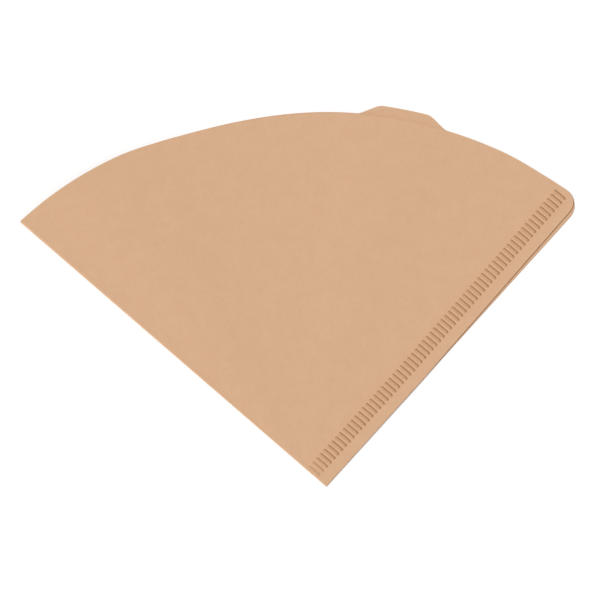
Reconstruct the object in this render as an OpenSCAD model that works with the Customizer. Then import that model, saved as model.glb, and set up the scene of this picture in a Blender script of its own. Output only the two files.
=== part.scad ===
// Cone coffee filter of unbleached paper, folded flat: one sheet bent double along its left edge,
// crimped together along its right edge and open along its curved rim. It lies on its back ply.

/* [Sheet] */
// Length of the folded edge, from the tip to the rim
fold_len = 126.4; // [100:0.2:140]
// Length of the cut edge beside the seam, from the tip to where the rim would meet it
edge_len = 121.5; // [100:0.5:155]
// Angle at the tip, between the folded edge and the cut edge
opening = 85.8; // [75:0.2:95]
// Radius of the rim's arc
rim_r = 123; // [105:1:180]
// Radius of the corner where the rim meets the cut edge
corner_r = 6.5; // [1:0.5:8]
// Thickness of the paper
paper_t = 0.22; // [0.18:0.01:0.35]

/* [Mouth] */
// Space between the plies beside the folded edge, at the rim
fold_gap = 0.5; // [0.2:0.05:1.5]
// Further space between the plies where the mouth stands most open
mouth_gap = 0.8; // [0.2:0.1:3]
// Angle at the tip from the seam to where the mouth stands most open
mouth_angle = 72; // [43:1:73]
// How far the front ply's rim falls short of the back ply's, at the middle of the mouth
rim_slip = 0.8; // [0.2:0.1:2]

/* [Seam] */
// Width of the loose margin between the cut edge and the crimp marks
margin_w = 3.5; // [1.5:0.1:6]
// Space between the two loose plies of the margin, at the rim
margin_gap = 0.3; // [0.1:0.05:1]
// Width of the bonded paper on either side of the crimp marks
bond_w = 0.4; // [0.2:0.05:1]
// Length of a crimp mark, across the seam
mark_len = 4.7; // [3:0.1:7]
// Width of a crimp mark, along the seam
mark_w = 1.15; // [0.6:0.05:1.4]
// Distance from one crimp mark to the next
mark_pitch = 1.778; // [1.6:0.001:3]
// Angle by which the crimp marks lean towards the rim
mark_lean = 3.4; // [0:0.2:6]
// Least distance from the folded edge to the first crimp mark
mark_start = 0.32; // [0.2:0.02:4]
// Least distance from the last crimp mark to the rim
mark_end = 2; // [1:0.5:6]
// Height that the crimp marks stand out of the front
mark_rise = 0.25; // [0.05:0.01:0.4]
// Depth that the crimp marks are pressed into the back
mark_dent = 0.2; // [0.04:0.01:0.3]
// Distance from the tip at which the back ply starts to show past the front ply's cut edge
slip_start = 45; // [10:1:60]
// How far the back ply stands out past the front ply's cut edge, at the rim
slip_w = 1.2; // [0.2:0.1:1.5]

/* [Tab] */
// Angle from the middle of the opening to the middle of the tab, about the rim's centre
tab_angle = 16; // [-20:1:25]
// Width of the tab at its foot
tab_foot_w = 26.4; // [22:0.2:36]
// Width of the tab at its top, before its corners are rounded
tab_top_w = 15.4; // [12:0.2:20]
// Height of the tab above the rim
tab_h = 3.8; // [2.5:0.1:8]
// Radius of the tab's top corners
tab_corner_r = 3; // [1:0.1:4]
// Radius of the hollow at each foot of the tab
tab_foot_r = 2; // [1:0.1:3]

/* [Hidden] */

// Columns that follow the arch of the mouth, and the steps of each smaller curve
arch_steps = 36;
seam_steps = 6;
bend_steps = 4;
corner_steps = 6;
// How far a cutting shape reaches past the paper that it opens
overcut = 1.5;
// Height at which the pocket and the margin's slit close against the bonded strip
closing_h = 0.05;
// Share of the rim's slip by which the crescent's ends lie outside the rim
run_out = 0.2;

// Directions in the plan, which has the tip at [0, 0] and the rim towards +Y
fold_dir = [-sin(opening / 2), cos(opening / 2)];
edge_dir = [sin(opening / 2), cos(opening / 2)];
off_fold = [cos(opening / 2), sin(opening / 2)];
off_edge = [-cos(opening / 2), sin(opening / 2)];

// The rim's arc passes through the ends of the folded edge and of the cut edge
rim_chord = edge_len * edge_dir - fold_len * fold_dir;
rim_drop = sqrt(rim_r ^ 2 - (norm(rim_chord) / 2) ^ 2);
rim_centre = (edge_len * edge_dir + fold_len * fold_dir) / 2
    + rim_drop / norm(rim_chord) * [rim_chord.y, -rim_chord.x];

// The bonded strip, measured in from the cut edge
bond_start = margin_w - bond_w;
bond_end = margin_w + mark_len + bond_w;
corner_in = min(corner_r, bond_end);

// The first crimp mark, measured along the cut edge from the tip, and the number of marks that fit
fold_slant = max(margin_w / tan(opening), (margin_w + mark_len) / tan(opening));
mark_first = fold_slant + mark_start + mark_w / 2;
mark_count = 1 + floor((edge_len - mark_end - mark_w / 2 - mark_first) / mark_pitch);

// Power that moves the mouth's opening to its place
mouth_power = ln(0.5) / ln(mouth_angle / opening);

// Outer and inner radius of the fold's bend at the rim
bend_out = paper_t + fold_gap / 2;
bend_in = fold_gap / 2;

function unit(v) = v / norm(v);
function backwards(list) = [for (k = [len(list) - 1 : -1 : 0]) list[k]];

// Point of the rim reached from a point inside it, along a unit direction
function on_rim(from, dir) =
    let (away = from - rim_centre)
    from + (sqrt((away * dir) ^ 2 + rim_r ^ 2 - away * away) - away * dir) * dir;

// Points of the folded edge, and of the rim with its rounded corner, at a distance in from the cut edge
function at_fold(d) = d / sin(opening) * fold_dir;
function at_rim(d) =
    let (cut = d < corner_in ? corner_in - sqrt(corner_in ^ 2 - (corner_in - d) ^ 2) : 0)
    on_rim(d * off_edge, edge_dir) - cut * edge_dir;

// Point of the rim at a share of the opening, from 0 at the seam to 1 at the fold
function on_arch(share) =
    on_rim(at_fold(bond_end), cos(opening * share) * edge_dir + sin(opening * share) * off_edge);

// Spaces at the rim: between the two plies, and between the loose plies of the margin
function ply_gap(share) =
    fold_gap * share ^ 2 * (3 - 2 * share) + mouth_gap * sin(180 * share ^ mouth_power) ^ 2;
function slit_gap(d) = margin_gap * max(0, 1 - d / bond_start);

// Arc in the corner at b, between the lines to a and c
function round_corner(a, b, c, r) =
    let (
        u = unit(a - b),
        w = unit(c - b),
        half = acos(u * w) / 2,
        middle = b + r / sin(half) * unit(u + w),
        first = b + r / tan(half) * u - middle,
        last = b + r / tan(half) * w - middle
    )
    [for (k = [0 : corner_steps]) middle + r * unit(first + k / corner_steps * (last - first))];

// Closed shape between two rows of columns, with a straight line from each near column to its far one.
// A column is [[x, y], lowest z, highest z].
module loft(near, far) {
    n = len(near);
    points = [for (row = [near, far]) for (z = [1, 2]) for (c = row) [c[0].x, c[0].y, c[z]]];
    // The four rows of points in turn round the shape: near low, near high, far high, far low
    rows = [0, n, 3 * n, 2 * n];
    sides = [
        for (i = [0 : 3])
        for (k = [0 : n - 2])
        let (a = rows[i] + k, b = rows[(i + 1) % 4] + k)
        each [[a, a + 1, b], [b, a + 1, b + 1]]
    ];
    ends = [rows, [for (r = backwards(rows)) r + n - 1]];
    polyhedron(points, concat(sides, ends));
}

// Shares of the opening at which the columns of the arch stand, and angles round the fold's bend
arch_shares = [for (k = [0 : arch_steps - 1]) k / arch_steps];
bend_angles = [for (k = [0 : bend_steps - 1]) 180 * k / (2 * bend_steps - 1)];
seam_ds = concat(
    [for (k = [0 : corner_steps - 1]) bond_start * (1 - cos(90 * k / corner_steps))],
    [for (k = [0 : seam_steps - 1]) bond_start + k / seam_steps * (bond_end - bond_start)]
);

// Columns of a bend at the rim, of a radius, set in from the folded edge and up from the table
function bend_columns(r, inset, past) = [
    for (a = bend_angles)
    [
        on_rim((inset + r * (1 - sin(a))) * off_fold, fold_dir) + past * fold_dir,
        inset + r * (1 - cos(a)),
        inset + r * (1 + cos(a))
    ]
];

// The whole paper without its hollows, from the table to the top of the front ply
module outer_form() {
    flat = [0, 2 * paper_t];
    near = concat(
        [for (d = seam_ds) [at_fold(d), each flat]],
        [for (k = [1 : arch_steps + bend_steps]) [at_fold(bond_end), each flat]]
    );
    far = concat(
        [for (d = seam_ds) [at_rim(d), 0, 2 * paper_t + slit_gap(d)]],
        [for (s = arch_shares) [on_arch(s), 0, 2 * paper_t + ply_gap(s)]],
        bend_columns(bend_out, 0, 0)
    );
    loft(near, far);
}

// Space between the two plies, closed by the fold and the bonded strip and open past the rim
module pocket() {
    start = at_fold(bond_end) + paper_t / sin(opening) * edge_dir;
    far = concat(
        [for (s = arch_shares)
            [on_arch(s) + overcut * unit(on_arch(s)), paper_t, paper_t + max(closing_h, ply_gap(s))]],
        bend_columns(bend_in, paper_t, overcut)
    );
    loft([for (c = far) [start, paper_t, paper_t + closing_h]], far);
}

// Hairline space between the loose plies of the margin, which the fold closes at the tip
module margin_slit() {
    ds = [-overcut, bond_start];
    near = [for (d = ds) [at_fold(d) + paper_t / sin(opening) * edge_dir, paper_t, paper_t + closing_h]];
    far = [
        for (d = ds)
        [d * off_edge + (edge_len + overcut) * edge_dir, paper_t, paper_t + max(closing_h, slit_gap(d))]
    ];
    loft(near, far);
}

// Sliver by which the front ply's cut edge falls short of the back ply's
module edge_slip() {
    past = edge_len + overcut;
    slope = slip_w / (edge_len - slip_start);
    rotate(90 - opening / 2)
        translate([0, 0, paper_t])
            linear_extrude(paper_t + margin_gap + overcut)
                polygon([
                    [slip_start, 0],
                    [slip_start, -overcut],
                    [past, -overcut],
                    [past, slope * (past - slip_start)]
                ]);
}

// Crescent by which the front ply's rim falls short of the back ply's. Its ends run out past the rim.
module rim_crescent() {
    rim_out = [for (s = arch_shares) unit(on_arch(s) - rim_centre)];
    short = [for (s = arch_shares) rim_slip * (sin(180 * s) * (1 + run_out) - run_out)];
    steps = [for (k = [0 : arch_steps - 1]) k];
    translate([0, 0, paper_t])
        linear_extrude(paper_t + fold_gap + mouth_gap + overcut)
            polygon(concat(
                [for (k = steps) on_arch(arch_shares[k]) - short[k] * rim_out[k]],
                [for (k = backwards(steps)) on_arch(arch_shares[k]) + overcut * rim_out[k]]
            ));
}

// Row of round-ended bars along the seam, between two heights
module crimp_marks(low, high) {
    rotate(90 - opening / 2)
        for (i = [0 : mark_count - 1])
            translate([mark_first + i * mark_pitch, margin_w + mark_len / 2, low])
                linear_extrude(high - low)
                    rotate(-mark_lean)
                        crimp_outline();
}

module crimp_outline() {
    straight = mark_len - mark_w;
    square([mark_w, straight], center = true);
    for (side = [-1, 1])
        translate([0, side * straight / 2])
            circle(d = mark_w, $fn = 24);
}

// Grip tab that stands out of the back ply's rim, with its root inside the rim
tab_out = [sin(tab_angle), cos(tab_angle)];
tab_side = [cos(tab_angle), -sin(tab_angle)];
tab_root = 2 * tab_foot_r;

function beside_tab(x) = rim_centre + x * tab_side + sqrt(rim_r ^ 2 - x ^ 2) * tab_out;
function tab_top(x) = rim_centre + x * tab_side + sqrt((rim_r + tab_h) ^ 2 - x ^ 2) * tab_out;
function tab_half(side) =
    let (
        rim_point = beside_tab(side * (tab_foot_w / 2 + tab_root)),
        foot = beside_tab(side * tab_foot_w / 2),
        top = tab_top(side * tab_top_w / 2)
    )
    concat(
        [rim_point - tab_root * tab_out, rim_point],
        round_corner(rim_point, foot, top, tab_foot_r),
        round_corner(foot, top, tab_top(side * tab_top_w / 4), tab_corner_r)
    );

tab_arc = [for (x = [-1 : 1]) tab_top(x * tab_top_w / 4)];
tab_outline = concat(tab_half(-1), tab_arc, backwards(tab_half(1)));

module grip_tab() {
    linear_extrude(paper_t)
        polygon(tab_outline);
}

// The origin lies under the middle of the sheet
plan = concat(
    [[0, 0], fold_len * fold_dir],
    [for (d = seam_ds) at_rim(d)],
    [for (s = arch_shares) on_arch(s)],
    tab_outline
);
plan_x = [for (p = plan) p.x];
plan_y = [for (p = plan) p.y];
plan_middle = [min(plan_x) + max(plan_x), min(plan_y) + max(plan_y)] / 2;

module paper_filter() {
    color("#d8af8c")
        translate([-plan_middle.x, -plan_middle.y, 0])
            difference() {
                union() {
                    outer_form();
                    grip_tab();
                    crimp_marks(paper_t, 2 * paper_t + mark_rise);
                }
                pocket();
                margin_slit();
                edge_slip();
                rim_crescent();
                crimp_marks(-overcut, mark_dent);
            }
}

paper_filter();
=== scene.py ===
"""Looks, light and camera for the paper coffee filter, which lies flat on its back ply."""

import math

import bmesh
import bpy
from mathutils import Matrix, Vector


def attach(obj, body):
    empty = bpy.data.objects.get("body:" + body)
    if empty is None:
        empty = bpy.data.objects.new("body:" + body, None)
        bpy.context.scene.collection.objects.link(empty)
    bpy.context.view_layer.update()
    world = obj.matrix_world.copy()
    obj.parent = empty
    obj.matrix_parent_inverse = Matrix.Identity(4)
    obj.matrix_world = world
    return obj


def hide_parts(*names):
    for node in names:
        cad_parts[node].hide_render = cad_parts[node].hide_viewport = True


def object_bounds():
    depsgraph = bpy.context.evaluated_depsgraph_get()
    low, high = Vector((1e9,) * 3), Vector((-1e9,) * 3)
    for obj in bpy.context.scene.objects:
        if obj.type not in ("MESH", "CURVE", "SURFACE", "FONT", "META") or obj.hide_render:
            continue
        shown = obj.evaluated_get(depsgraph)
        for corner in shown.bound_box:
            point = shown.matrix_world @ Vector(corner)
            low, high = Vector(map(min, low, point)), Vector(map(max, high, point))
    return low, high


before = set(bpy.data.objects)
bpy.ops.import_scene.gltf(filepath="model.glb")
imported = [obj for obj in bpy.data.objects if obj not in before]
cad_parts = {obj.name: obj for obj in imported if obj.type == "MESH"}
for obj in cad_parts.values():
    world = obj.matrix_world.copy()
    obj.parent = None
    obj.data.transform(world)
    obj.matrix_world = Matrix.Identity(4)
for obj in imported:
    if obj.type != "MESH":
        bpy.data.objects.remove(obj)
cad_low, cad_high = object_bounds()

# Folded sheet
# One blank of unbleached filter paper, bent double along its left edge and laid on its back ply.
# The two plies are crimped together beside the right edge, and the back ply carries the grip tab.

# Sizes in millimetres, in the seam's own plan: the tip at the origin, X along the cut edge,
# and Y across the sheet towards the fold
opening = math.radians(85.8)
fold_len = 126.4
edge_len = 121.5
rim_r = 123.0
paper_t = 0.22
fold_gap = 0.5
mouth_gap = 0.8
mouth_angle = math.radians(72)
rim_slip = 0.8
quarter_turn = math.pi / 2


def heading(angle):
    """The level direction at an angle round from the cut edge."""
    return Vector((math.cos(angle), math.sin(angle), 0))


fold_dir = heading(opening)
off_fold = heading(opening - quarter_turn)
edge_dir = heading(0)
rim_chord = edge_len * edge_dir - fold_len * fold_dir
rim_drop = math.sqrt(rim_r**2 - (rim_chord.length / 2) ** 2)
rim_side = Vector((rim_chord.y, -rim_chord.x, 0)).normalized()
rim_centre = (edge_len * edge_dir + fold_len * fold_dir) / 2 + rim_drop * rim_side

# The crimped strip, measured in from the cut edge, and the marks along it. The front ply's cut edge
# slips back from the back ply's as it nears the rim
margin_w = 3.5
margin_gap = 0.3
bond_w = 0.4
mark_len = 4.7
mark_w = 1.15
mark_pitch = 1.778
mark_lean = math.radians(3.4)
mark_start = 0.32
mark_end = 2.0
slip_start = 45.0
slip_w = 1.2
strip_in = 1.5
bond_start = margin_w - bond_w
bond_end = margin_w + mark_len + bond_w
strip_end = bond_end + strip_in
mark_first = (margin_w + mark_len) / math.tan(opening) + mark_start + mark_w / 2
mark_count = 1 + int((edge_len - mark_end - mark_w / 2 - mark_first) / mark_pitch)


def take_up(*sheets):
    """Selects these objects and no others, and makes the last of them the active one."""
    bpy.ops.object.select_all(action="DESELECT")
    for sheet in sheets:
        sheet.select_set(True)
    bpy.context.view_layer.objects.active = sheets[-1]


def pick(mesh, kind, test):
    """Selects the vertices, edges or faces of the mesh in edit mode that pass a test, and no others."""
    bpy.ops.mesh.select_mode(type={"verts": "VERT", "edges": "EDGE", "faces": "FACE"}[kind])
    bpy.ops.mesh.select_all(action="DESELECT")
    shape = bmesh.from_edit_mesh(mesh)
    for part in getattr(shape, kind):
        if test(part):
            part.select_set(True)
    bmesh.update_edit_mesh(mesh)


def place_picked(mesh, where):
    """Moves each selected vertex of the mesh in edit mode to the point that a rule gives for it."""
    shape = bmesh.from_edit_mesh(mesh)
    for corner in shape.verts:
        if corner.select:
            corner.co = where(corner.co)
    bmesh.update_edit_mesh(mesh)


def pare(line_point, outward):
    """Cuts away what lies outside a line across the mesh in edit mode."""
    bpy.ops.mesh.select_all(action="SELECT")
    bpy.ops.mesh.bisect(plane_co=line_point, plane_no=outward, clear_outer=True)


# The pocket's ply starts as rings of paper about the rim's centre
rim_steps = 1440
ring_w = 4.0
inner_ring = 8.0
bpy.ops.object.select_all(action="DESELECT")
bpy.ops.mesh.primitive_circle_add(vertices=rim_steps, radius=rim_r, location=rim_centre)
ply = bpy.context.object
ply.name = "back_ply"
bpy.ops.object.transform_apply(location=True)
bpy.ops.object.mode_set(mode="EDIT")
bpy.ops.mesh.select_all(action="SELECT")
ring = rim_r
while ring > inner_ring:
    narrowing = (ring - ring_w) / ring
    bpy.ops.mesh.extrude_edges_move()
    bpy.ops.transform.resize(value=(narrowing, narrowing, 1), center_override=rim_centre)
    ring -= ring_w
bpy.ops.mesh.edge_face_add()

# It is pared to the crimped strip and to the fold's bend, which widens from the tip to the rim.
# A point within on_line of a line counts as lying on it
bend_tip = paper_t * off_fold
bend_rim = fold_len * fold_dir + (paper_t + fold_gap / 2) * off_fold
bend_line = (bend_rim - bend_tip).normalized()
bend_out = Vector((-bend_line.y, bend_line.x, 0))
seam_gap = 0.3
on_line = 0.001


def off_bend(point):
    """How far a point lies outside the line where the fold's bend begins."""
    return (Vector((point.x, point.y, 0)) - bend_tip).dot(bend_out)


def on_bend(corner):
    """Whether a vertex lies on the line where the fold's bend begins."""
    return abs(off_bend(corner.co)) < on_line


pare(bend_tip, bend_out)
pare((0, strip_end + seam_gap, 0), (0, -1, 0))
bpy.ops.object.mode_set(mode="OBJECT")

# One crimp mark is a round-ended bar, pressed up out of the flat paper by shoulders that step in and up
cap_steps = 20
mark_foot_w = 1.22
shoulders = ((0.05, 0.02), (0.16, 0.21), (0.05, 0.02))
mark_h = sum(up for inward, up in shoulders)
mark_straight = mark_len - mark_w
mark_middle = margin_w + mark_len / 2
bpy.ops.object.select_all(action="DESELECT")
bpy.ops.mesh.primitive_circle_add(
    vertices=cap_steps, radius=mark_foot_w / 2, fill_type="NGON", rotation=(0, 0, math.pi / cap_steps)
)
crimp = bpy.context.object
bpy.ops.object.transform_apply(rotation=True)
bpy.ops.object.mode_set(mode="EDIT")
for side in (1, -1):
    pick(crimp.data, "verts", lambda corner: corner.co.y * side > 0)
    bpy.ops.transform.translate(value=(0, side * mark_straight / 2, 0))
bpy.ops.mesh.select_mode(type="FACE")
bpy.ops.mesh.select_all(action="SELECT")
for inward, up in shoulders:
    bpy.ops.mesh.inset(thickness=inward, depth=up)
bpy.ops.object.mode_set(mode="OBJECT")

# The raised bar is coloured a little darker where the paper is pressed. The flank towards the rim and
# the outer end, which face away from the lamp, get a stronger painted shade
top_press = 0.4
painted_shade_facing = math.radians(-20)
painted_shade_spread = 0.7
# Share of the darker colour at each vertex: pressed paper over the whole bar, and painted shade added on
# its side away from the lamp
pressed = crimp.data.attributes.new("pressed", "FLOAT", "POINT")
for corner in crimp.data.vertices:
    cap = math.copysign(mark_straight / 2, corner.co.y)
    facing = math.atan2(corner.co.y - cap, corner.co.x)
    weight = min(1, max(0, math.cos(facing - painted_shade_facing) / painted_shade_spread))
    if corner.co.z > mark_h - on_line:
        weight = 0
    if corner.co.z > on_line:
        pressed.data[corner.index].value = top_press + (1 - top_press) * weight

# The crown is drawn back from the rim and from the cut edge, so that the flanks there slope
flank_w = 0.28
crown_w = mark_foot_w - 2 * (shoulders[0][0] + shoulders[1][0])
crown_len = crown_w + mark_straight
bpy.ops.object.mode_set(mode="EDIT")
pick(crimp.data, "verts", lambda corner: corner.co.z > mark_h / 2)
bpy.ops.transform.resize(
    value=(1 - flank_w / crown_w, 1 - flank_w / crown_len, 1),
    center_override=(-crown_w / 2, crown_len / 2, 0),
)

# The flat paper round the bar ends in straight borders, and then the bar is made to lean
pick(crimp.data, "edges", lambda edge: edge.is_boundary)
bpy.ops.mesh.extrude_edges_move()


def to_border(point):
    """Carries a point of the bar's outline out to the straight border of its share of the seam."""
    cap = math.copysign(mark_straight / 2, point.y)
    across, along = point.x, point.y - cap
    reach = max(abs(across), abs(along))
    border = mark_len / 2 + bond_w - mark_straight / 2
    return Vector((across / reach * mark_pitch / 2, cap + along / reach * border, 0))


def in_bar(corner):
    """Whether a vertex belongs to the bar and not to the flat paper round it."""
    beside = abs(corner.co.x) < mark_foot_w / 2 + on_line
    return beside and abs(corner.co.y) < (mark_straight + mark_foot_w) / 2 + on_line


place_picked(crimp.data, to_border)
pick(crimp.data, "verts", in_bar)
place_picked(crimp.data, lambda p: Vector((p.x + math.tan(mark_lean) * p.y, p.y, p.z)))

# The margin goes on from there to the cut edge, and the strip a little way into the pocket
margin_steps = 3
bond_middle = (mark_len + bond_w) / 2
pick(crimp.data, "edges", lambda edge: max(v.co.y for v in edge.verts) < -bond_middle)
for step in range(margin_steps):
    bpy.ops.mesh.extrude_edges_move(
        TRANSFORM_OT_translate={"value": (0, -bond_start / margin_steps, 0)}
    )
pick(crimp.data, "edges", lambda edge: min(v.co.y for v in edge.verts) > bond_middle)
bpy.ops.mesh.extrude_edges_move(TRANSFORM_OT_translate={"value": (0, strip_in, 0)})
bpy.ops.mesh.select_all(action="SELECT")
bpy.ops.transform.translate(value=(mark_first, mark_middle, 0))
bpy.ops.object.mode_set(mode="OBJECT")

# The row of marks starts faintly beside the tip, and follows the front ply's cut edge as that slips back
faint_start = 0.3
faint_marks = 3.5
row_start = mark_first - mark_pitch / 2
row_end = row_start + mark_count * mark_pitch
row = crimp.modifiers.new("row of marks", "ARRAY")
row.count = mark_count
row.use_relative_offset = False
row.use_constant_offset = True
row.constant_offset_displace = (mark_pitch, 0, 0)
row.use_merge_vertices = True
row.merge_threshold = on_line
bpy.ops.object.modifier_apply(modifier=row.name)
pressed = crimp.data.attributes["pressed"]
for corner in crimp.data.vertices:
    marks_on = (corner.co.x - row_start) / mark_pitch
    weight = min(1, faint_start + (1 - faint_start) * marks_on / faint_marks)
    corner.co.z *= weight
    pressed.data[corner.index].value *= weight
    slipped = slip_w * max(0, corner.co.x - slip_start) / (edge_len - slip_start)
    share = max(0, min(1, corner.co.y / bond_start, (strip_end - corner.co.y) / strip_in))
    corner.co.y += slipped * share

# The strip runs from the fold's bend to past the rim
past_rim = 6.0
bpy.ops.object.mode_set(mode="EDIT")
pick(crimp.data, "edges", lambda edge: min(v.co.x for v in edge.verts) > row_end - on_line)
bpy.ops.mesh.extrude_edges_move(TRANSFORM_OT_translate={"value": (past_rim, 0, 0)})
pick(crimp.data, "verts", lambda corner: corner.co.x < row_start + on_line)
place_picked(
    crimp.data,
    lambda p: Vector((bend_tip.x + (p.y - bend_tip.y) * bend_line.x / bend_line.y, p.y, p.z)),
)
bpy.ops.object.mode_set(mode="OBJECT")

# It is joined to the pocket's ply across the narrow gap left between them
take_up(crimp, ply)
bpy.ops.object.join()
bpy.ops.object.mode_set(mode="EDIT")


def on_borders(corner):
    """Whether a vertex lies on the border of the strip or on that of the pocket's ply."""
    return min(abs(corner.co.y - strip_end), abs(corner.co.y - strip_end - seam_gap)) < on_line


pick(ply.data, "verts", lambda corner: on_borders(corner) and on_bend(corner))
bpy.ops.mesh.edge_face_add()
pick(ply.data, "verts", lambda corner: on_borders(corner) and corner.co.x > row_end)
bpy.ops.mesh.edge_face_add()
pick(
    ply.data,
    "edges",
    lambda edge: edge.is_wire or edge.is_boundary and all(on_borders(v) for v in edge.verts),
)
bpy.ops.mesh.fill()
bpy.ops.mesh.select_all(action="SELECT")
bpy.ops.mesh.normals_make_consistent(inside=False)
bpy.ops.object.mode_set(mode="OBJECT")
if ply.data.polygons[0].normal.z < 0:
    ply.data.flip_normals()

# The front ply is a second one of the same shape, with its cut edge a little short of the back one's.
# On both, the outer corner is rounded and the strip's end is pared to the rim
take_up(ply)
bpy.ops.object.duplicate()
front = bpy.context.object
front.name = "front_ply"
back_corner_r = 6.5
front_corner_r = 5.0
corner_steps = 9
rim_cuts = 8
for sheet, slip, corner_r in ((ply, 0.0, back_corner_r), (front, slip_w, front_corner_r)):
    take_up(sheet)
    bpy.ops.object.mode_set(mode="EDIT")
    cut_turn = math.atan2(slip, edge_len - slip_start) - quarter_turn
    if slip:
        pare((slip_start, 0, 0), heading(cut_turn))
    # The corner's centre lies its radius inside both the cut edge and the rim
    inner_r = rim_r - corner_r
    corner_y = corner_r + slip
    corner_x = rim_centre.x + math.sqrt(inner_r**2 - (corner_y - rim_centre.y) ** 2)
    corner_centre = Vector((corner_x, corner_y, 0))
    rim_turn = math.atan2(corner_y - rim_centre.y, corner_x - rim_centre.x)
    for step in range(1, corner_steps):
        outward = heading(cut_turn + (rim_turn - cut_turn) * step / corner_steps)
        pare(corner_centre + corner_r * outward, outward)
    strip_turn = math.asin((strip_end + seam_gap - rim_centre.y) / rim_r)
    for step in range(rim_cuts + 1):
        outward = heading(rim_turn + (strip_turn - rim_turn) * step / rim_cuts)
        pare(rim_centre + rim_r * outward, outward)
    bpy.ops.object.mode_set(mode="OBJECT")

# The grip tab is drawn out of the back ply's rim
tab_off_middle = math.radians(16)
tab_foot_w = 26.4
tab_top_w = 15.4
tab_h = 3.5
tab_corner = 0.75
tab_foot = 0.5
tab_turn = opening / 2 - tab_off_middle
tab_out = heading(tab_turn)
tab_side = heading(tab_turn - quarter_turn)
tab_foot_h = math.sqrt(rim_r**2 - (tab_foot_w / 2) ** 2)
tab_corner_h = math.sqrt((rim_r + tab_h) ** 2 - (tab_top_w / 2) ** 2)
tab_slope = (tab_corner_h - tab_foot_h) / ((tab_foot_w - tab_top_w) / 2)


def on_rim(corner):
    """Whether a vertex lies on the even arc of the rim."""
    return abs((corner.co - rim_centre).length - rim_r) < on_line


def under_tab(corner):
    """Whether a vertex lies on the stretch of the rim that the tab grows from."""
    out = corner.co - rim_centre
    beside = abs(out.dot(tab_side)) < tab_foot_w / 2 + 2 * tab_foot
    return on_rim(corner) and beside and out.dot(tab_out) > 0


def lower_of(a, b, round_h):
    """The lower of two heights, with the corner between their lines rounded off."""
    return min(a, b) - max(round_h - abs(a - b), 0) ** 2 / (4 * round_h)


def to_tab(point):
    """Carries a point of the rim out to the edge of the grip tab."""
    across = (point - rim_centre).dot(tab_side)
    rim_h = (point - rim_centre).dot(tab_out)
    side_h = tab_foot_h + tab_slope * (tab_foot_w / 2 - abs(across))
    tab_edge = lower_of(math.sqrt((rim_r + tab_h) ** 2 - across**2), side_h, tab_corner)
    return point + (-lower_of(-rim_h, -tab_edge, tab_foot) - rim_h) * tab_out


take_up(ply)
bpy.ops.object.mode_set(mode="EDIT")
pick(ply.data, "edges", lambda edge: edge.is_boundary and all(under_tab(v) for v in edge.verts))
bpy.ops.mesh.extrude_edges_move()
place_picked(ply.data, to_tab)
bpy.ops.mesh.select_all(action="SELECT")
bpy.ops.mesh.remove_doubles(threshold=on_line)
bpy.ops.mesh.flip_normals()
bpy.ops.object.mode_set(mode="OBJECT")

# The front ply's rim falls a little short of the back ply's
cone_tip = bond_end / math.sin(opening) * fold_dir
run_out = 0.2


def rim_share(point):
    """Place of a point round the pocket, from 0 at the seam to 1 at the fold."""
    return min(1, max(0, math.atan2(point.y - cone_tip.y, point.x - cone_tip.x) / opening))


for corner in front.data.vertices:
    if corner.co.y > bond_end and on_rim(corner):
        short = rim_slip * (math.sin(math.pi * rim_share(corner.co)) * (1 + run_out) - run_out)
        corner.co -= max(0, short) * (corner.co - rim_centre).normalized()

# The cut rim strays from an even arc: it runs full beside the tab and flat left of the middle.
# Degrees round from the cut edge, and millimetres outside the arc
strays = ((5, 0), (12, 0.6), (32, 0.5), (56, -1.15), (69, 0))
stray_fade = 6


def rim_stray(turn):
    """How far the cut rim lies outside the even arc at an angle round from the cut edge."""
    for (start, near), (end, far) in zip(strays, strays[1:]):
        if start <= turn < end:
            share = (turn - start) / (end - start)
            return near + (far - near) * share**2 * (3 - 2 * share)
    return 0


for sheet in (ply, front):
    for corner in sheet.data.vertices:
        out = Vector((corner.co.x - rim_centre.x, corner.co.y - rim_centre.y, 0))
        stray = rim_stray(math.degrees(math.atan2(out.y, out.x)))
        corner.co += stray * min(1, out.length / rim_r) ** stray_fade * out.normalized()

# The front ply stands off the back one: a little at the fold, most beside it, some at the tab,
# not at all along the crimps, and a hair along the loose margin
mouth_power = math.log(0.5) / math.log(mouth_angle / opening)
tab_gap = 0.6
tab_gap_spread = math.radians(9)
wave_h = 0.1
waves = 3


def ply_lift(point):
    """Height of the front ply's outside over the table, before its crimp marks."""
    if point.y <= bond_end:
        return 2 * paper_t + margin_gap * max(0, 1 - point.y / bond_start) * point.x / edge_len
    share = rim_share(point)
    ray = Vector((point.x, point.y, 0)) - cone_tip
    away = (cone_tip - rim_centre).dot(ray.normalized())
    reach = math.sqrt(away**2 + rim_r**2 - (cone_tip - rim_centre).length_squared) - away
    gap = fold_gap * share**2 * (3 - 2 * share)
    gap += mouth_gap * math.sin(math.pi * share**mouth_power) ** 2
    gap += tab_gap * math.exp(-(((share * opening - tab_turn) / tab_gap_spread) ** 2))
    gap += wave_h * math.sin(math.pi * share) * math.sin(math.pi * waves * share) ** 2
    return 2 * paper_t + gap * ray.length / reach


for corner in front.data.vertices:
    corner.co.z += ply_lift(corner.co)

# The two plies are joined by the fold's bend, which is rounded out to the folded edge
bend_steps = 11


def round_bend(point):
    """Carries a point between the plies out to the half-round of the fold."""
    top = ply_lift(point)
    turn = math.pi * min(1, max(0, point.z / top))
    inset = point.x * off_fold.x + point.y * off_fold.y
    outward = inset * math.sin(turn)
    height = top / 2 * (1 - math.cos(turn))
    return Vector((point.x - outward * off_fold.x, point.y - outward * off_fold.y, height))


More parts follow.
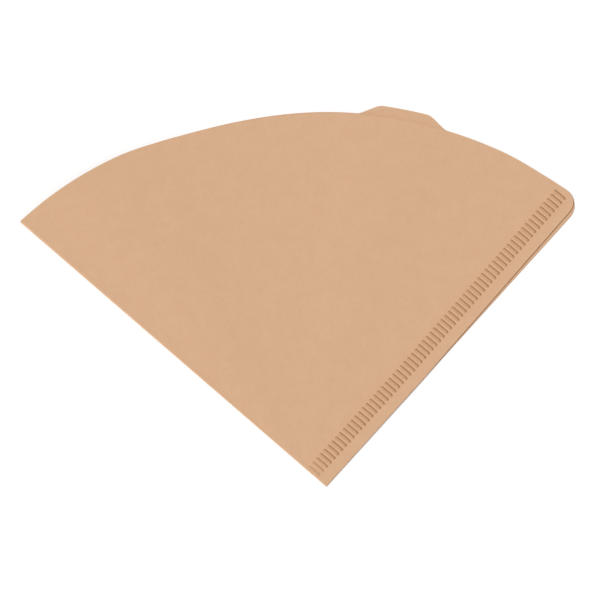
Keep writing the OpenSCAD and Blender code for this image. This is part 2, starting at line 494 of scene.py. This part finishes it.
take_up(front, ply)
bpy.ops.object.join()
bpy.ops.object.mode_set(mode="EDIT")
pick(ply.data, "edges", lambda edge: edge.is_boundary and all(on_bend(v) for v in edge.verts))
bpy.ops.mesh.bridge_edge_loops(number_cuts=bend_steps, interpolation="LINEAR")
pick(ply.data, "verts", on_bend)
place_picked(ply.data, round_bend)
bpy.ops.mesh.select_all(action="SELECT")
bpy.ops.mesh.normals_make_consistent(inside=False)
bpy.ops.object.mode_set(mode="OBJECT")
highest = max(ply.data.polygons, key=lambda face: face.center.z)
if highest.normal.z < 0:
    ply.data.flip_normals()
ply.name = "folded_sheet"

# The paper's wall lies inside the folded surface. Off the bend it is set straight up or down, so that
# the marks of one ply nest in those of the other, a hairline apart
hairline = 0.01
wall_t = paper_t - hairline
outside = [(corner.co.copy(), corner.normal.z) for corner in ply.data.vertices]
wall = ply.modifiers.new("paper", "SOLIDIFY")
wall.thickness = wall_t
wall.offset = -1
bpy.ops.object.modifier_apply(modifier=wall.name)
for index, (point, facing) in enumerate(outside):
    if off_bend(point) < on_line:
        inside = ply.data.vertices[index + len(outside)]
        inside.co = point - Vector((0, 0, math.copysign(wall_t, facing)))

# In place: the tip at the front of the part's box, and millimetres made metres
millimetre = 0.001
crisp_edge = math.radians(20)
tip = Vector((cad_low.x + fold_len * millimetre * math.sin(opening / 2), cad_low.y, 0))
ply.scale = (millimetre,) * 3
ply.rotation_euler.z = quarter_turn - opening / 2
ply.location = tip
bpy.ops.object.transform_apply(location=True, rotation=True, scale=True)
bpy.ops.object.shade_smooth_by_angle(angle=crisp_edge)


def reckon(tree, operation, *terms):
    """Adds a Math node to a node tree, fed by sockets or plain numbers, and gives its result."""
    node = tree.nodes.new("ShaderNodeMath")
    node.operation = operation
    for socket, term in zip(node.inputs, terms):
        if isinstance(term, bpy.types.NodeSocket):
            tree.links.new(term, socket)
        else:
            socket.default_value = term
    return node.outputs["Value"]


# Short fibres that lie every way in the paper, one in each cell of a scattered pattern. Their half width
# and half length fade out between two shares of a cell
fibre_curl = 0.6
fibre_half_w = (0.01, 0.05)
fibre_half_len = (0.25, 0.5)
fibres = bpy.data.node_groups.new("scattered fibres", "ShaderNodeTree")
fibres.interface.new_socket("Vector", in_out="INPUT", socket_type="NodeSocketVector")
fibres.interface.new_socket("Scale", in_out="INPUT", socket_type="NodeSocketFloat")
fibres.interface.new_socket("Fibre", in_out="OUTPUT", socket_type="NodeSocketFloat")


def fade_out(distance, reach):
    """Adds a node that falls from 1 to 0 as a distance from the fibre's middle goes past its reach."""
    fade = fibres.nodes.new("ShaderNodeMapRange")
    fade.interpolation_type = "SMOOTHSTEP"
    fade.inputs["From Min"].default_value = reach[0]
    fade.inputs["From Max"].default_value = reach[1]
    fade.inputs["To Min"].default_value = 1
    fade.inputs["To Max"].default_value = 0
    fibres.links.new(reckon(fibres, "ABSOLUTE", distance), fade.inputs["Value"])
    return fade.outputs["Result"]


add = fibres.nodes.new
wire = fibres.links.new
given = add("NodeGroupInput")
cells = add("ShaderNodeTexVoronoi")
cells.voronoi_dimensions = "2D"
wire(given.outputs["Vector"], cells.inputs["Vector"])
wire(given.outputs["Scale"], cells.inputs["Scale"])
from_middle = add("ShaderNodeVectorMath")
from_middle.operation = "SUBTRACT"
wire(given.outputs["Vector"], from_middle.inputs[0])
wire(cells.outputs["Position"], from_middle.inputs[1])
swing = add("ShaderNodeVectorRotate")
swing.rotation_type = "Z_AXIS"
wire(from_middle.outputs["Vector"], swing.inputs["Vector"])
wire(reckon(fibres, "MULTIPLY", cells.outputs["Color"], 2 * math.pi), swing.inputs["Angle"])
in_cells = add("ShaderNodeVectorMath")
in_cells.operation = "SCALE"
wire(swing.outputs["Vector"], in_cells.inputs[0])
wire(given.outputs["Scale"], in_cells.inputs["Scale"])
sides = add("ShaderNodeSeparateXYZ")
wire(in_cells.outputs["Vector"], sides.inputs["Vector"])
lengthwise = sides.outputs["X"]
curl = reckon(fibres, "MULTIPLY", lengthwise, fibre_curl)
crosswise = reckon(fibres, "MULTIPLY_ADD", curl, lengthwise, sides.outputs["Y"])
fibre_w = fade_out(crosswise, fibre_half_w)
fibre_len = fade_out(lengthwise, fibre_half_len)
result = add("NodeGroupOutput")
wire(reckon(fibres, "MULTIPLY", fibre_w, fibre_len), result.inputs["Fibre"])

# Unbleached pulp: warm buff, matt, a little cloudy where the sheet is thicker, and darker where pressed,
# with painted shade on the crimp marks' flanks that face away from the lamp.
# The scales are counts to the metre, and the relief is in metres
thick_buff = (0.653, 0.397, 0.236, 1)
thin_buff = (0.702, 0.443, 0.276, 1)
dark_fibre = (0.56, 0.33, 0.19, 1)
# Darker buff of pressed paper, which on the crimp marks' flanks away from the lamp also serves as
# painted shade
pressed_buff = (0.455, 0.24, 0.113, 1)
cloud_scale = 220
long_fibres = (420, 0.35)
fine_fibres = (1100, 0.3)
felt_scale = 2600
felt_relief = 0.00003
smoothest = 0.82
roughest = 0.95
paper = bpy.data.materials.new("unbleached filter paper")
paper.use_nodes = True
pulp = paper.node_tree
skin = pulp.nodes["Principled BSDF"]
add = pulp.nodes.new
wire = pulp.links.new


def lay_over(under, over, amount):
    """Adds a node that lays a plain colour over another one by an amount, and gives the colour mixed."""
    mix = add("ShaderNodeMix")
    mix.data_type = "RGBA"
    amount_in, under_in, over_in = mix.inputs[0], mix.inputs[6], mix.inputs[7]
    wire(amount, amount_in)
    if isinstance(under, bpy.types.NodeSocket):
        wire(under, under_in)
    else:
        under_in.default_value = under
    over_in.default_value = over
    return mix.outputs[2]


place = add("ShaderNodeTexCoord")
clouds = add("ShaderNodeTexNoise")
clouds.inputs["Scale"].default_value = cloud_scale
clouds.inputs["Detail"].default_value = 4
clouds.inputs["Roughness"].default_value = 0.6
wire(place.outputs["Object"], clouds.inputs["Vector"])
colour = lay_over(thick_buff, thin_buff, clouds.outputs["Fac"])
felt = add("ShaderNodeTexNoise")
felt.inputs["Scale"].default_value = felt_scale
felt.inputs["Detail"].default_value = 3
wire(place.outputs["Object"], felt.inputs["Vector"])
height = felt.outputs["Fac"]
for scale, strength in (long_fibres, fine_fibres):
    fibre = add("ShaderNodeGroup")
    fibre.node_tree = fibres
    fibre.inputs["Scale"].default_value = scale
    wire(place.outputs["Object"], fibre.inputs["Vector"])
    colour = lay_over(colour, dark_fibre, reckon(pulp, "MULTIPLY", fibre.outputs["Fibre"], strength))
    height = reckon(pulp, "ADD", height, fibre.outputs["Fibre"])
# The crimp marks' attribute lays that darker buff over the bars: pressed paper, and painted shade on the
# flanks facing away from the lamp
press_and_shade_mask = add("ShaderNodeAttribute")
press_and_shade_mask.attribute_name = "pressed"
wire(lay_over(colour, pressed_buff, press_and_shade_mask.outputs["Fac"]), skin.inputs["Base Color"])
relief = add("ShaderNodeBump")
relief.inputs["Strength"].default_value = 0.35
relief.inputs["Distance"].default_value = felt_relief
wire(height, relief.inputs["Height"])
wire(relief.outputs["Normal"], skin.inputs["Normal"])
dull = add("ShaderNodeMapRange")
dull.inputs["To Min"].default_value = smoothest
dull.inputs["To Max"].default_value = roughest
wire(felt.outputs["Fac"], dull.inputs["Value"])
wire(dull.outputs["Result"], skin.inputs["Roughness"])
skin.inputs["Specular IOR Level"].default_value = 0.25
ply.data.materials.clear()
ply.data.materials.append(paper)
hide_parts("paper_filter")
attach(ply, "root")

# Table
# A plain white surface under the filter, wide enough to fill every view. It shows pure white to the
# camera where it is fully lit, and keeps the soft shadow beside the paper.
table_w = 20
table_white = (0.96, 0.96, 0.96, 1)
table_glow = 0.06
bpy.ops.object.select_all(action="DESELECT")
bpy.ops.mesh.primitive_plane_add(size=table_w)
table = bpy.context.object
table.name = "table"
white = bpy.data.materials.new("white table")
white.use_nodes = True
finish = white.node_tree.nodes["Principled BSDF"]
finish.inputs["Base Color"].default_value = table_white
finish.inputs["Roughness"].default_value = 1
finish.inputs["Specular IOR Level"].default_value = 0
finish.inputs["Emission Color"].default_value = (1, 1, 1, 1)


def seen_directly(tree):
    """Adds nodes that give 1 where the camera or a mirrored or clear ray sees a surface, and else 0."""
    rays = tree.nodes.new("ShaderNodeLightPath")
    seen = rays.outputs["Is Camera Ray"]
    for kind in ("Is Glossy Ray", "Is Transmission Ray"):
        seen = reckon(tree, "MAXIMUM", seen, rays.outputs[kind])
    return seen


glow = reckon(white.node_tree, "MULTIPLY", seen_directly(white.node_tree), table_glow)
white.node_tree.links.new(glow, finish.inputs["Emission Strength"])
table.data.materials.append(white)

# Light
# A large soft lamp high on the left, and a white room all round that gives half of the light.
# Together they light the table so that a colour shows as it is written.
fill_level = 0.5
lamp_high = math.radians(55)
lamp_spread = math.radians(18)
lamp_side = Vector((-1, -0.15, 0)).normalized()
lamp_from = lamp_side * math.cos(lamp_high) + Vector((0, 0, math.sin(lamp_high)))
bpy.ops.object.light_add(type="SUN", rotation=lamp_from.to_track_quat("Z", "Y").to_euler())
lamp = bpy.context.object
lamp.name = "soft lamp"
lamp.data.energy = (1 - fill_level) * math.pi / math.sin(lamp_high)
lamp.data.angle = lamp_spread
room = bpy.data.worlds.new("white room")
bpy.context.scene.world = room
room.use_nodes = True
walls = room.node_tree.nodes["Background"]
walls.inputs["Color"].default_value = (1, 1, 1, 1)
level = room.node_tree.nodes.new("ShaderNodeMapRange")
level.inputs["To Min"].default_value = fill_level
level.inputs["To Max"].default_value = 1
room.node_tree.links.new(seen_directly(room.node_tree), level.inputs["Value"])
room.node_tree.links.new(level.outputs["Result"], walls.inputs["Strength"])
bpy.context.scene.view_settings.view_transform = "Standard"

# Camera
# A long lens, well above the table and almost straight in front of the tip, aimed at a point
# given in millimetres from the tip.
view_az = math.radians(-3.47)
view_el = math.radians(63.97)
view_far = 2.93
view_lens = 589.4
aim_from_tip = Vector((-4.0, 61.57, 2 * paper_t))
level_back = Vector((math.sin(view_az), -math.cos(view_az), 0))
back = level_back * math.cos(view_el) + Vector((0, 0, math.sin(view_el)))
aim = tip + millimetre * aim_from_tip
bpy.ops.object.camera_add(location=aim + view_far * back)
camera = bpy.context.object
camera.rotation_euler = (-back).to_track_quat("-Z", "Y").to_euler()
camera.data.lens = view_lens
bpy.context.scene.camera = camera
